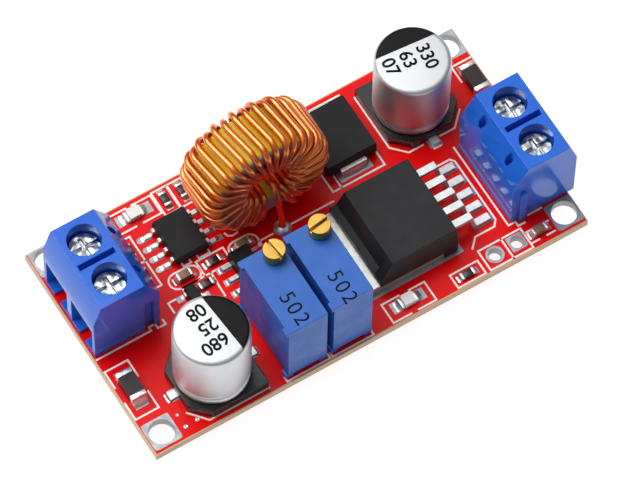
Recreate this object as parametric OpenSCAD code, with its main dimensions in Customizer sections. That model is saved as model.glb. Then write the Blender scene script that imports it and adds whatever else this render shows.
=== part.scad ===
// Step-down (buck) converter module: a red circuit board with two screw terminal blocks,
// two multi-turn trimmers, a wound toroidal inductor, two electrolytic capacitors and
// small surface-mounted parts.
// Millimetres. The frame's origin is the centre of the four corner holes on the board's
// underside, +X is along the board towards the input terminals and +Z is up.

/* [Board] */
// Length of the board along X
board_l = 51.2; // [50:0.1:54]
// Width of the board along Y
board_w = 26.2; // [26:0.1:28]
// Thickness of the board
board_t = 1; // [0.8:0.1:2]
// Distance of the corner holes' centres from the ends
hole_inset_x = 1.7; // [1.5:0.05:2.2]
// Distance of the corner holes' centres from the long sides
hole_inset_y = 1.8; // [1.5:0.05:2.2]
// Radius of a corner hole
hole_r = 1.4; // [1.2:0.05:1.5]
// Centre of the corner holes, from the centre of the board
hole_centre = [0.1, 0.2]; // [-0.4:0.1:0.4]
// Radius of the two free wire pads' holes
wire_hole_r = 0.7; // [0.5:0.05:0.8]

/* [Terminal blocks] */
// Depth of a block, from its wire side to its inner side
block_d = 7.64; // [7.4:0.02:8]
// Length of a block along its two poles
block_l = 10.1; // [10:0.05:10.4]
// Height of a block
block_h = 9.95; // [9.6:0.05:10.4]
// Distance between the two poles
pole_pitch = 5; // [4.9:0.02:5.08]
// Height where the upright sides end and the slopes begin
shoulder_z = 7.06; // [6.8:0.02:7.2]
// Horizontal run of the slope on the wire side
slope_out = 0.96; // [0.8:0.02:1.2]
// Horizontal run of the slope on the inner side
slope_in = 1.67; // [1.4:0.02:1.8]
// Distance from the wire side to the screws
screw_x = 3.42; // [3.3:0.02:3.6]
// Radius of the well above each screw
well_r = 1.78; // [1.7:0.02:1.9]
// Radius of a screw's head
head_r = 1.64; // [1.5:0.02:1.65]
// Radius of a screw's shank
shank_r = 1.1; // [0.9:0.05:1.2]
// Depth of a screw's head below the top of the block
head_sink = 1.7; // [1.4:0.05:1.9]
// Distance that a clamp rises when its screw is tightened fully
clamp_rise = 1.6; // [1.2:0.1:1.6]

/* [Trimmers] */
// Length of a trimmer along Y
trimmer_l = 9.53; // [9.4:0.01:9.8]
// Width of a trimmer along X
trimmer_w = 4.83; // [4.6:0.01:4.9]
// Height of a trimmer, feet included
trimmer_h = 9.95; // [9.6:0.05:10.1]
// Height of the feet
trimmer_foot = 0.4; // [0.3:0.05:0.6]
// Radius of an adjusting screw's head
adjuster_r = 1.16; // [1:0.02:1.25]
// Height of an adjusting screw's head above the trimmer
adjuster_h = 1.5; // [1.2:0.05:1.6]
// Distance of the adjusting screw from the two faces nearest to it
adjuster_inset = 1.27; // [1.25:0.01:1.4]

/* [Electrolytic capacitors] */
// Radius of a can
can_r = 4; // [3.8:0.05:4.1]
// Height of a capacitor from the board to the top of its can
can_top = 10.3; // [10:0.1:10.8]
// Side of the square base
base_side = 8.4; // [8.3:0.05:8.6]
// Thickness of the base
base_t = 1.25; // [1:0.05:1.4]
// Size of the base's two cut corners
base_cut = 1.9; // [1.4:0.1:2.2]

/* [Inductor] */
// Outer radius of the ring core
core_r = 6.35; // [6.2:0.05:6.4]
// Radius of the core's hole
core_hole_r = 3.85; // [3.8:0.05:3.9]
// Thickness of the core along its axis
core_t = 5.3; // [5:0.05:5.4]
// Height of the core's centre above the board
core_z = 7.3; // [7.3:0.05:7.6]
// Radius of the enamelled wire
wire_r = 0.36; // [0.3:0.01:0.36]
// Number of turns
turns = 34; // [24:1:34]
// Angle between two turns round the ring
turn_pitch = 9.85; // [9.8:0.05:9.9]
// Angle round the ring at which the first turn passes through the hole
first_turn_angle = 269; // [267:1:270]

/* [Converter chip] */
// Width of the converter chip's body along Y
converter_w = 10.2; // [10:0.05:10.3]
// Depth of the converter chip's body along X
converter_d = 9.3; // [9:0.05:9.3]
// Height of the converter chip's top above the board
converter_h = 4.45; // [4.3:0.05:4.6]
// Distance between two leads of the converter chip
converter_pitch = 1.7; // [1.65:0.01:1.7]

/* [Layout, from the centre of the board] */
// Wire side and middle of the output block
output_block = [-25.3, 4.55]; // [-26:0.05:26]
// Wire side and middle of the input block
input_block = [26.35, -4.2]; // [-26:0.05:27]
// Middle of the trimmer that sets the current
current_trimmer = [-7.7, -7.77]; // [-26:0.05:26]
// Middle of the trimmer that sets the voltage
voltage_trimmer = [-2.37, -7.7]; // [-26:0.05:26]
// Middle of the output capacitor
output_capacitor = [-16.2, -8.2]; // [-26:0.05:26]
// Middle of the input capacitor
input_capacitor = [17, 7.4]; // [-26:0.05:26]
// Middle of the inductor
inductor = [-2.1, 6.85]; // [-26:0.05:26]
// Holes of the inductor's front and back leads
front_lead = [-1.5, 2.3]; // [-26:0.05:26]
back_lead = [-0.6, 11.4]; // [-26:0.05:26]
// Middle of the converter chip's body
converter = [7.8, -4.15]; // [-26:0.05:26]
// Middle of the amplifier chip
amplifier = [-11.1, 6.55]; // [-26:0.05:26]
// Middle of the diode
diode = [8.2, 7.95]; // [-26:0.05:26]
// Middle of the small regulator
regulator = [-7.05, -0.2]; // [-26:0.05:26]
// Middle of the small transistor
transistor = [-13.3, -0.3]; // [-26:0.05:26]
// Middles of the two round and square wire pads
wire_pads = [[15.4, -11.5], [18.05, -11.45]]; // [-26:0.05:26]

/* [Hidden] */
hole_span = [board_l - 2 * hole_inset_x, board_w - 2 * hole_inset_y];

e = 0.5;                                        // overshoot of a cut
seat_gap = 0.05;                                // gap between a moving piece and its stop
slide_gap = 0.1;                                // gap beside a sliding clamp
run_gap = 0.05;                                 // radial running clearance of a screw
insert_gap = 0.02;                              // gap round a moulded-in or soldered piece
pole_sides = [1, -1];
output_turn = 0;
input_turn = 180;

// Terminal blocks: heights from the board's top face
head_t = 1.2;                                   // thickness of a screw's head
head_top = block_h - head_sink;
head_base = head_top - head_t;
ledge_t = 0.4;                                  // ledge under a screw's head
chamber_floor = 0.45;
chamber_top = head_base - ledge_t;
chamber_w = 4.15;
chamber_end = 6.2;
entry_wall = 0.9;                               // thickness of the wall with the wire entry
entry_top = 5;
notch_w = 1.15;                                 // notch in the sill
notch_l = 1.6;
slot_l = 4.17;                                  // slot between the two wells
slot_w = 0.62;
slot_deep = 1.6;
vent_x = 6.6;                                   // upright test holes in the inner slope
vent_r = 0.45;
vent_floor = 7.2;
rib_x = 6.05;                                   // rib on one end, groove on the other
rib_w = 0.8;
rib_out = 0.4;
rib_top = 5.6;
driver_w = 0.42;                                // slot and cross recess of a screw
driver_l = 2.3;
driver_deep = 0.5;

clamp_w = chamber_w - 2 * slide_gap;
clamp_l = 3.9;
clamp_wall = 0.5;
clamp_floor_t = 0.6;
clamp_roof_t = 0.7;
clamp_base = chamber_floor + seat_gap;
clamp_top = chamber_top - seat_gap - clamp_rise;
contact_t = 0.6;
contact_w = 2.6;
contact_top = clamp_top - clamp_roof_t - seat_gap;
contact_start = screw_x - clamp_l / 2;
shank_base = contact_top + seat_gap;
pin_x = 6.9;
pin_r = 0.5;
pin_hole_r = 0.65;
pin_drop = 1.3;                                 // length of the pins below the board

// Trimmers
trimmer_pin_r = 0.25;
trimmer_pin_hole_r = 0.4;
trimmer_pin_pitch = 2.54;
trimmer_pin_deep = 1.4;
foot_side = 0.9;
recess_deep = 0.3;                              // recess in the whole -X side
nib_l = 0.9;                                    // nibs left at the recess's four corners
nib_h = 0.5;
shaft_r = 0.9;
shaft_l = 6;
screw_slot_w = 0.3;
screw_slot_deep = 0.6;
current_slot_turn = 97;
voltage_slot_turn = 8;
adjuster_at = [trimmer_w / 2 - adjuster_inset, trimmer_l / 2 - adjuster_inset, trimmer_h];

// Electrolytic capacitors
crimp_z = 2.4;
crimp_r = 0.35;
can_round = 0.5;
plug_r = can_r - can_round;
plug_t = base_t / 2;
can_lead_w = 0.9;
can_lead_t = 0.3;
can_lead_out = 0.9;
output_capacitor_turn = 0;
input_capacitor_turn = 90;

// Inductor: the winding is given by the centre line of its wire
core_round = 0.5;
over_r = core_r + wire_r + 0.35;                // radius over the core's outside
hole_r_outer = core_hole_r - wire_r - 0.05;     // first layer in the core's hole
layer = 2 * wire_r + 0.02;                      // step to the second layer in the hole
face_y = core_t / 2 + wire_r + 0.1;             // distance of the strands on the faces
face_step = 0.2;                                // extra distance of every second strand
hole_bend_r = 0.8;
outer_bend_r = 1.4;
bend_steps = 4;
wire_sides = 6;
outside_skew = 5;                               // part of turn_pitch made over the outside
face_skew = (turn_pitch - outside_skew) / 3;
lead_hole_r = 0.5;
lead_drop = 1.2;
front_path = [[front_lead[0], front_lead[1], -board_t - lead_drop],
    [front_lead[0], front_lead[1], 0.8], [-1.45, 2.9, 2.2], [-1.45, 3.45, 5],
    [-1.5, 4.3, 6.1], [-1.7, 6.5, 5.6], [-1.75, 8, 4.75]];
back_path = [[-0.68, 9.2, 4.16], [-0.65, 10.3, 3.9], [-0.62, 11.1, 2.9],
    [back_lead[0], back_lead[1], 1.6], [back_lead[0], back_lead[1], -board_t - lead_drop]];

// Solder joints: radius and height
top_joint = [1, 0.6];
wire_joint = [1.2, 0.9];
pin_joint = [1.2, 1];
small_joint = [0.8, 0.8];

// Chips: body [along X, along Y, height], lead [reach, slope, foot, height, thickness, width]
converter_lead = [4.7, 0.5, 1.75, 2.55, 0.5, 0.82];
converter_tab_t = 1.27;
converter_tab_out = 1.35;
converter_tab_inset = 0.2;
converter_step_z = 2.2;                         // ledge along the tab's side of the body
converter_step_w = 0.8;
converter_draft = 0.75;
converter_end_l = 1.4;                          // end of the body without that ledge
converter_end_draft = 0.5;
converter_foot_w = 1.6;                         // body under the leads
amplifier_body = [3.9, 4.9, 1.55];
amplifier_lead = [1.05, 0.15, 0.62, 0.8, 0.2, 0.42];
amplifier_pitch = 1.27;
transistor_body = [1.3, 2.9, 1.05];
transistor_lead = [0.55, 0.1, 0.3, 0.5, 0.12, 0.42];
transistor_half_pitch = 0.95;
regulator_body = [2.5, 4.5, 1.5];
regulator_lead = [1, 0.4, 0.45];                // reach, thickness, width
regulator_tab = [0.6, 0.4, 1.7];
regulator_pitch = 1.5;
chip_rise = 0.1;                                // gap under a chip's body
chip_draft = 0.15;
diode_body = [5.9, 6.9, 2.3];
diode_terminal_w = 3;
diode_terminal_t = 0.25;
diode_terminal_z = 1.15;
diode_terminal_out = 0.4;
diode_terminal_foot = 1.2;

// Two-ended parts: middle and turn of each, then their size and the length of an end
resistors = [[[-10.15, 11.2], 90], [[-8.2, 11.2], 90], [[-9.5, 2.6], 0], [[11.8, -12], 0],
    [[-16.3, 7.9], 90], [[-16.3, 4.75], 90], [[-11.5, 0.75], 0]];
resistor_size = [1.6, 0.8, 0.45];
small_capacitors = [[[-12.95, 2.6], 0], [[-6, 2.6], 0], [[20.7, -11.55], 0]];
small_capacitor_size = [1.7, 0.85, 0.8];
large_capacitors = [[[-24, -5.45], 90], [[24.2, 6.55], 90]];
large_capacitor_size = [3.4, 1.7, 1.4];
lamps = [[[-13.75, 11.4], 0], [[5.05, -11.4], 0]];
lamp_size = [2, 1.25, 0.75];
end_l = 0.3;
large_end_l = 0.55;
lamp_end_l = 0.35;
lamp_end_h = 0.4;

// ---------- placing ----------

// From a point on the board's top face, counted from the board's centre
module on_board(place = [0, 0], turn = 0) {
    translate([place[0] - hole_centre[0], place[1] - hole_centre[1], board_t])
        rotate([0, 0, turn]) children();
}

module box_between(a, b) {
    translate(a) cube(b - a);
}

// A profile in X and Z, drawn along Y on both sides of the middle
module along_y(length) {
    rotate([90, 0, 0]) linear_extrude(length, center = true) children();
}

// The two poles of a block
module at_poles(block, turn) {
    for (side = pole_sides) at_pole(block, turn, side) children();
}

module at_pole(block, turn, side) {
    on_board(block, turn) translate([0, side * pole_pitch / 2, 0]) children();
}

// ---------- circuit board ----------

module board_hole(r) {
    translate([0, 0, -board_t - e]) cylinder(h = board_t + 2 * e, r = r, $fn = 48);
}

module circuit_board() {
    color("firebrick")
    difference() {
        on_board() translate([-board_l / 2, -board_w / 2, -board_t])
            cube([board_l, board_w, board_t]);
        for (x = [-1, 1], y = [-1, 1])
            on_board(hole_centre + [x * hole_span[0], y * hole_span[1]] / 2) board_hole(hole_r);
        for (place = wire_pads) on_board(place) board_hole(wire_hole_r);
        for (place = [front_lead, back_lead]) on_board(place) board_hole(lead_hole_r);
        at_poles(output_block, output_turn) translate([pin_x, 0, 0]) board_hole(pin_hole_r);
        at_poles(input_block, input_turn) translate([pin_x, 0, 0]) board_hole(pin_hole_r);
        for (place = [current_trimmer, voltage_trimmer]) on_board(place)
            for (k = [-1 : 1]) translate([0, k * trimmer_pin_pitch, 0])
                board_hole(trimmer_pin_hole_r);
    }
}

// ---------- terminal blocks ----------
// A block's own frame: X inwards from its wire side, Y along its poles, Z from the board

module housing() {
    color("royalblue")
    difference() {
        union() {
            along_y(block_l) polygon([[0, 0], [block_d, 0], [block_d, shoulder_z],
                [block_d - slope_in, block_h], [slope_out, block_h], [0, shoulder_z]]);
            box_between([rib_x, block_l / 2 - e, 0],
                [rib_x + rib_w, block_l / 2 + rib_out, rib_top]);
        }
        box_between([rib_x - slide_gap, -block_l, -e],
            [rib_x + rib_w + slide_gap, -block_l / 2 + rib_out + slide_gap, rib_top + slide_gap]);
        for (side = pole_sides) translate([0, side * pole_pitch / 2, 0]) pole_cuts();
        box_between([screw_x - slot_l / 2, -slot_w / 2, block_h - slot_deep],
            [screw_x + slot_l / 2, slot_w / 2, block_h + e]);
    }
}

// What is taken out of a housing round one pole
module pole_cuts() {
    box_between([entry_wall, -chamber_w / 2, chamber_floor],
        [chamber_end, chamber_w / 2, chamber_top]);
    box_between([-e, -chamber_w / 2, chamber_floor],
        [entry_wall + e, chamber_w / 2, entry_top]);
    box_between([-e, -notch_w / 2, -e], [notch_l, notch_w / 2, chamber_floor + e]);
    translate([screw_x, 0, head_base - seat_gap]) cylinder(h = block_h, r = well_r, $fn = 64);
    translate([screw_x, 0, chamber_top - e])
        cylinder(h = ledge_t + 2 * e, r = shank_r + run_gap, $fn = 48);
    translate([vent_x, 0, vent_floor]) cylinder(h = block_h, r = vent_r, $fn = 32);
    contact_space(insert_gap);
}

// The seat of the contact's root and pin in the housing
module contact_space(gap) {
    box_between([chamber_end - e, -contact_w / 2 - gap, contact_top - contact_t - gap],
        [pin_x + pin_r + gap, contact_w / 2 + gap, contact_top + gap]);
    translate([pin_x, 0, -e])
        cylinder(h = contact_top - contact_t / 2 + e, r = pin_r + gap, $fn = 32);
}

// The fixed contact: a bar over the wire and a pin through the board
module contact() {
    color("silver") {
        box_between([contact_start, -contact_w / 2, contact_top - contact_t],
            [pin_x + pin_r, contact_w / 2, contact_top]);
        translate([pin_x, 0, -board_t - pin_drop])
            cylinder(h = board_t + pin_drop + contact_top - contact_t / 2, r = pin_r, $fn = 32);
    }
}

// The rising clamp: a ring round the wire and the contact bar, with a threaded roof
module clamp() {
    inner_w = clamp_w / 2 - clamp_wall;
    color("darkgray")
    translate([screw_x, 0, 0])
    difference() {
        box_between([-clamp_l / 2, -clamp_w / 2, clamp_base],
            [clamp_l / 2, clamp_w / 2, clamp_top]);
        box_between([-clamp_l, -inner_w, clamp_base + clamp_floor_t],
            [clamp_l, inner_w, clamp_top - clamp_roof_t]);
        translate([0, 0, clamp_top - clamp_roof_t - e])
            cylinder(h = clamp_roof_t + 2 * e, r = shank_r + run_gap, $fn = 48);
    }
}

// The screw, with a slot across its head and a cross recess
module terminal_screw() {
    color("gainsboro")
    translate([screw_x, 0, 0])
    difference() {
        union() {
            translate([0, 0, shank_base])
                cylinder(h = head_base - shank_base + e, r = shank_r, $fn = 48);
            translate([0, 0, head_base]) cylinder(h = head_t, r = head_r, $fn = 64);
        }
        translate([0, 0, head_top]) {
            cube([2 * head_r + e, driver_w, 2 * driver_deep], center = true);
            cube([driver_w, driver_l, 2 * driver_deep], center = true);
        }
    }
}

module output_terminal_housing() on_board(output_block, output_turn) housing();
module input_terminal_housing() on_board(input_block, input_turn) housing();
module output_contacts() at_poles(output_block, output_turn) contact();
module input_contacts() at_poles(input_block, input_turn) contact();

// ---------- trimmers ----------

module trimmer_body() {
    color("cornflowerblue")
    difference() {
        box_between([-trimmer_w / 2, -trimmer_l / 2, 0],
            [trimmer_w / 2, trimmer_l / 2, trimmer_h]);
        box_between([-trimmer_w, -trimmer_l / 2 + foot_side, -e],
            [trimmer_w, trimmer_l / 2 - foot_side, trimmer_foot]);
        box_between([-trimmer_w / 2 + foot_side, -trimmer_l, -e],
            [trimmer_w / 2 - foot_side, trimmer_l, trimmer_foot]);
        translate([-trimmer_w / 2, 0, 0]) {
            box_between([-e, -trimmer_l / 2 + nib_l, -e],
                [recess_deep, trimmer_l / 2 - nib_l, trimmer_h + e]);
            box_between([-e, -trimmer_l, nib_h], [recess_deep, trimmer_l, trimmer_h - nib_h]);
        }
        translate(adjuster_at - [0, 0, shaft_l + seat_gap])
            cylinder(h = shaft_l + e, r = shaft_r + run_gap, $fn = 48);
        trimmer_pins(insert_gap);
    }
}

module trimmer_pins(gap = 0) {
    color("silver")
    for (k = [-1 : 1]) translate([0, k * trimmer_pin_pitch, -board_t - pin_drop])
        cylinder(h = board_t + pin_drop + trimmer_pin_deep + gap, r = trimmer_pin_r + gap,
            $fn = 24);
}

// The brass screw on top, slotted at the angle at which it was left
module adjuster(slot_turn) {
    color("goldenrod")
    translate(adjuster_at)
    difference() {
        union() {
            translate([0, 0, seat_gap]) cylinder(h = adjuster_h, r = adjuster_r, $fn = 64);
            translate([0, 0, -shaft_l]) cylinder(h = shaft_l + e, r = shaft_r, $fn = 48);
        }
        rotate([0, 0, slot_turn]) translate([0, 0, adjuster_h + seat_gap])
            cube([3 * adjuster_r, screw_slot_w, 2 * screw_slot_deep], center = true);
    }
}

// ---------- electrolytic capacitors ----------
// A capacitor's own frame: its base's cut corners are on the -X side

module capacitor_base() {
    half = base_side / 2;
    color([0.09, 0.09, 0.1])
    difference() {
        linear_extrude(base_t) polygon([[-half, -half + base_cut], [-half + base_cut, -half],
            [half, -half], [half, half], [-half + base_cut, half], [-half, half - base_cut]]);
        translate([0, 0, base_t - plug_t]) cylinder(h = base_t, r = plug_r, $fn = 64);
        for (side = [-1, 1]) translate([side * half, 0, 0])
            cube([2 * can_lead_out, can_lead_w + 2 * insert_gap, 2 * (can_lead_t + insert_gap)],
                center = true);
    }
}

// The aluminium can: rounded top edge, crimped groove, rubber plug closed into its foot
module capacitor_can() {
    color("whitesmoke")
    rotate_extrude($fn = 64)
    difference() {
        union() {
            translate([0, base_t]) square([can_r, can_top - base_t - can_round]);
            translate([0, base_t]) square([can_r - can_round, can_top - base_t]);
            translate([can_r - can_round, can_top - can_round]) circle(r = can_round, $fn = 32);
            translate([0, base_t - plug_t + insert_gap]) square([plug_r - insert_gap, base_t]);
        }
        translate([can_r + crimp_r / 2, crimp_z]) circle(r = crimp_r, $fn = 32);
    }
}

module capacitor_leads() {
    color("silver")
    for (side = [-1, 1]) translate([side * base_side / 2, 0, can_lead_t / 2])
        cube([2 * (can_lead_out - insert_gap), can_lead_w, can_lead_t], center = true);
}

// ---------- inductor ----------

module inductor_core() {
    half = core_t / 2;
    color("gold")
    on_board(inductor) translate([0, 0, core_z]) rotate([90, 0, 0]) rotate_extrude($fn = 96) {
        translate([core_hole_r, -half + core_round])
            square([core_r - core_hole_r, core_t - 2 * core_round]);
        translate([core_hole_r + core_round, -half])
            square([core_r - core_hole_r - 2 * core_round, core_t]);
        for (r = [core_hole_r + core_round, core_r - core_round], y = [-1, 1])
            translate([r, y * (half - core_round)]) circle(r = core_round, $fn = 32);
    }
}

function unit(v) = v / norm(v);
function turn_angle(k) = first_turn_angle - k * turn_pitch;
function layer_r(k) = hole_r_outer - (k % 2) * layer;
function strand_y(k) = face_y + (k % 2) * face_step;

// A quarter bend into the corner (r, y) of a turn, which lies on the side (sr, sy) of the
// bend's own centre, at the radius bend_r. It starts in the direction start, r being the
// distance from the ring's axis, and lies in the plane at the angle a round the ring.
function bend(r, y, sr, sy, start, a, bend_r) = [for (i = [0 : bend_steps])
    let (t = start - 90 * i / bend_steps,
        out = r + bend_r * (cos(t) - sr),
        along = y + bend_r * (sin(t) - sy))
    [inductor[0] + out * cos(a), inductor[1] + along, core_z + out * sin(a)]];

// One turn: through the hole, then the back face, the outside, the front face
function turn_points(k) = let (a = turn_angle(k)) concat(
    bend(layer_r(k), strand_y(k), -1, 1, 180, a - face_skew, hole_bend_r),
    bend(over_r, strand_y(k), 1, 1, 90, a - 2 * face_skew, outer_bend_r),
    bend(over_r, -strand_y(k), 1, -1, 0, a - 2 * face_skew - outside_skew, outer_bend_r),
    bend(layer_r(k + 1), -strand_y(k), -1, -1, -90, a - turn_pitch, hole_bend_r));

wire_path = concat(front_path, [for (k = [0 : turns - 1]) each turn_points(k)], back_path);

// The direction round the ring keeps the sides of the wire from twisting
function round_ring(p) = unit([core_z - p[2], 0, p[0] - inductor[0]]);

function wire_ring(i) = let (
        p = wire_path[i],
        before = i == 0 ? [0, 0, 0] : unit(p - wire_path[i - 1]),
        after = i == len(wire_path) - 1 ? [0, 0, 0] : unit(wire_path[i + 1] - p),
        along = unit(before + after),
        side = unit(cross(round_ring(p), along)),
        other = cross(along, side))
    [for (s = [0 : wire_sides - 1]) let (t = 360 * s / wire_sides)
        p + wire_r * (cos(t) * side + sin(t) * other)];

module inductor_winding() {
    rings = len(wire_path);
    points = [for (i = [0 : rings - 1]) each wire_ring(i)];
    skin = [for (i = [0 : rings - 2], s = [0 : wire_sides - 1])
        let (a = i * wire_sides + s, b = i * wire_sides + (s + 1) % wire_sides)
        each [[a, a + wire_sides, b], [b, a + wire_sides, b + wire_sides]]];
    ends = [[for (s = [0 : wire_sides - 1]) s],
        [for (s = [wire_sides - 1 : -1 : 0]) (rings - 1) * wire_sides + s]];
    color("chocolate") on_board() polyhedron(points, concat(skin, ends), convexity = 10);
}

// ---------- solder joints ----------

// A low dome [radius, height] with a hole where a lead of radius lead_r goes through
module joint(size, lead_r) {
    ball_r = (size[0] * size[0] + size[1] * size[1]) / (2 * size[1]);
    color("silver")
    difference() {
        intersection() {
            translate([0, 0, size[1] - ball_r]) sphere(r = ball_r, $fn = 64);
            cylinder(h = size[1] + e, r = size[0] + e, $fn = 48);
        }
        translate([0, 0, -e]) cylinder(h = size[1] + 2 * e, r = lead_r + insert_gap, $fn = 32);
    }
}

module under_joint(size, lead_r) {
    translate([0, 0, -board_t]) mirror([0, 0, 1]) joint(size, lead_r);
}

module inductor_joints() {
    for (place = [front_lead, back_lead]) on_board(place) {
        joint(top_joint, wire_r);
        under_joint(wire_joint, wire_r);
    }
}

module terminal_joints() {
    at_poles(output_block, output_turn) translate([pin_x, 0, 0]) under_joint(pin_joint, pin_r);
    at_poles(input_block, input_turn) translate([pin_x, 0, 0]) under_joint(pin_joint, pin_r);
}

module trimmer_joints() {
    for (place = [current_trimmer, voltage_trimmer], k = [-1 : 1])
        on_board(place) translate([0, k * trimmer_pin_pitch, 0])
            under_joint(small_joint, trimmer_pin_r);
}

// ---------- chips ----------

// A bent lead from a body's side at X = 0 to its toe on the board
module bent_lead(lead) {
    foot_start = lead[0] - lead[2];
    knee = foot_start - lead[1];
    t = lead[4];
    under = 0.7 * t;
    color("silver")
    along_y(lead[5]) polygon([[0, lead[3] - t / 2], [0, lead[3] + t / 2],
        [knee, lead[3] + t / 2], [foot_start, t], [lead[0], t], [lead[0], 0],
        [foot_start - under, 0], [knee - under, lead[3] - t / 2]]);
}

// A moulded body whose drafted sides meet in an upright band, where the leads come out
module chip(body, band_low, band_high) {
    half = body[0] / 2;
    color([0.12, 0.12, 0.13])
    along_y(body[1]) polygon([[-half + chip_draft, chip_rise], [half - chip_draft, chip_rise],
        [half, band_low], [half, band_high], [half - chip_draft, body[2]],
        [-half + chip_draft, body[2]], [-half, band_high], [-half, band_low]]);
}

// The body's profile from its tab side to its leads; the tab side has a ledge or a slope
module converter_profile(ledge_w) {
    half = converter_d / 2;
    low = converter_lead[3] - converter_lead[4] / 2;
    polygon([[-half, converter_tab_t], [half - converter_foot_w, converter_tab_t],
        [half - converter_foot_w, chip_rise], [half - chip_draft, chip_rise], [half, low],
        [half, low + converter_lead[4]], [half - chip_draft, converter_h],
        [-half + converter_step_w + converter_draft, converter_h],
        [-half + ledge_w, converter_step_z], [-half, converter_step_z]]);
}

module converter_body() {
    end_y = -converter_w / 2 + converter_end_l;
    color([0.16, 0.16, 0.17])
    on_board(converter)
    difference() {
        union() {
            along_y(converter_w) converter_profile(converter_step_w);
            translate([0, end_y - converter_end_l / 2, 0])
                along_y(converter_end_l) converter_profile(0);
        }
        for (turn = [0, 180]) rotate([0, 0, turn])
            translate([0, converter_w / 2, converter_tab_t]) rotate([90, 0, 90])
                linear_extrude(2 * converter_d, center = true)
                    polygon([[0, 0], [e, 0], [e, converter_h], [-converter_end_draft, converter_h]]);
    }
}

module converter_tab() {
    half_w = converter_w / 2 - converter_tab_inset;
    color("silver")
    on_board(converter) box_between([-converter_d / 2 - converter_tab_out, -half_w, 0],
        [converter_d / 2 - converter_foot_w - insert_gap, half_w, converter_tab_t]);
}

module converter_leads() {
    for (k = [-2 : 2]) on_board(converter)
        translate([converter_d / 2, k * converter_pitch, 0]) bent_lead(converter_lead);
}

module amplifier_leads() {
    for (turn = [0, 180], k = [-1.5 : 1.5]) on_board(amplifier, turn)
        translate([amplifier_body[0] / 2, k * amplifier_pitch, 0]) bent_lead(amplifier_lead);
}

module transistor_leads() {
    on_board(transistor) translate([transistor_body[0] / 2, 0, 0]) bent_lead(transistor_lead);
    for (k = [-1, 1]) on_board(transistor, 180)
        translate([transistor_body[0] / 2, k * transistor_half_pitch, 0])
            bent_lead(transistor_lead);
}

module lead_band(body, lead) {
    chip(body, lead[3] - lead[4] / 2, lead[3] + lead[4] / 2);
}

module amplifier_chip() on_board(amplifier) lead_band(amplifier_body, amplifier_lead);
module transistor_chip() on_board(transistor) lead_band(transistor_body, transistor_lead);
module regulator_chip() on_board(regulator) chip(regulator_body, chip_rise, regulator_lead[1]);

// Flat leads on one side of the regulator, and the end of its tab on the other
module regulator_leads() {
    color("silver")
    on_board(regulator) {
        for (k = [-1 : 1]) translate([-regulator_body[0] / 2, k * regulator_pitch, 0])
            box_between([-regulator_lead[0], -regulator_lead[2] / 2, 0],
                [0, regulator_lead[2] / 2, regulator_lead[1]]);
        translate([regulator_body[0] / 2, 0, 0])
            box_between([0, -regulator_tab[2] / 2, 0],
                [regulator_tab[0], regulator_tab[2] / 2, regulator_tab[1]]);
    }
}

module diode_chip() {
    half = diode_body[1] / 2;
    t = diode_terminal_t;
    color([0.13, 0.13, 0.14])
    on_board(diode, 90) along_y(diode_body[0]) polygon([[-half + chip_draft, t],
        [half - chip_draft, t], [half, diode_terminal_z - t], [half, diode_terminal_z],
        [half - chip_draft, diode_body[2]], [-half + chip_draft, diode_body[2]],
        [-half, diode_terminal_z], [-half, diode_terminal_z - t]]);
}

// A terminal comes out of each end, turns down and folds under the body
module diode_terminals() {
    t = diode_terminal_t;
    z = diode_terminal_z;
    out = diode_terminal_out;
    color("silver")
    for (turn = [90, 270]) on_board(diode, turn) translate([diode_body[1] / 2, 0, 0])
        along_y(diode_terminal_w) polygon([[0, z - t], [0, z], [out, z], [out, 0],
            [-diode_terminal_foot, 0], [-diode_terminal_foot, t], [out - t, t],
            [out - t, z - t]]);
}

// ---------- two-ended parts ----------

module middles(parts, size, end) {
    for (part = parts) on_board(part[0], part[1])
        translate([-size[0] / 2 + end, -size[1] / 2, 0])
            cube([size[0] - 2 * end, size[1], size[2]]);
}

module ends(parts, size, end, height) {
    color("silver")
    for (part = parts, side = [0, 180]) on_board(part[0], part[1] + side)
        translate([size[0] / 2 - end, -size[1] / 2, 0]) cube([end, size[1], height]);
}

module resistor_bodies() color([0.1, 0.1, 0.11]) middles(resistors, resistor_size, end_l);
module resistor_ends() ends(resistors, resistor_size, end_l, resistor_size[2]);
module small_capacitor_bodies()
    color("tan") middles(small_capacitors, small_capacitor_size, end_l);
module small_capacitor_ends()
    ends(small_capacitors, small_capacitor_size, end_l, small_capacitor_size[2]);
module large_capacitor_bodies()
    color([0.24, 0.2, 0.19]) middles(large_capacitors, large_capacitor_size, large_end_l);
module large_capacitor_ends()
    ends(large_capacitors, large_capacitor_size, large_end_l, large_capacitor_size[2]);
module lamp_bodies() color("ivory") middles(lamps, lamp_size, lamp_end_l);
module lamp_ends() ends(lamps, lamp_size, lamp_end_l, lamp_end_h);

// ---------- nodes ----------

circuit_board();
output_terminal_housing();
input_terminal_housing();
output_contacts();
input_contacts();
at_pole(output_block, output_turn, 1) terminal_screw();  // output_screw_1
at_pole(output_block, output_turn, -1) terminal_screw();  // output_screw_2
at_pole(input_block, input_turn, 1) terminal_screw();  // input_screw_1
at_pole(input_block, input_turn, -1) terminal_screw();  // input_screw_2
at_pole(output_block, output_turn, 1) clamp();  // output_clamp_1
at_pole(output_block, output_turn, -1) clamp();  // output_clamp_2
at_pole(input_block, input_turn, 1) clamp();  // input_clamp_1
at_pole(input_block, input_turn, -1) clamp();  // input_clamp_2
on_board(current_trimmer) trimmer_body();  // current_trimmer_body
on_board(voltage_trimmer) trimmer_body();  // voltage_trimmer_body
on_board(current_trimmer) adjuster(current_slot_turn);  // current_adjuster
on_board(voltage_trimmer) adjuster(voltage_slot_turn);  // voltage_adjuster
on_board(current_trimmer) trimmer_pins();  // current_trimmer_pins
on_board(voltage_trimmer) trimmer_pins();  // voltage_trimmer_pins
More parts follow.
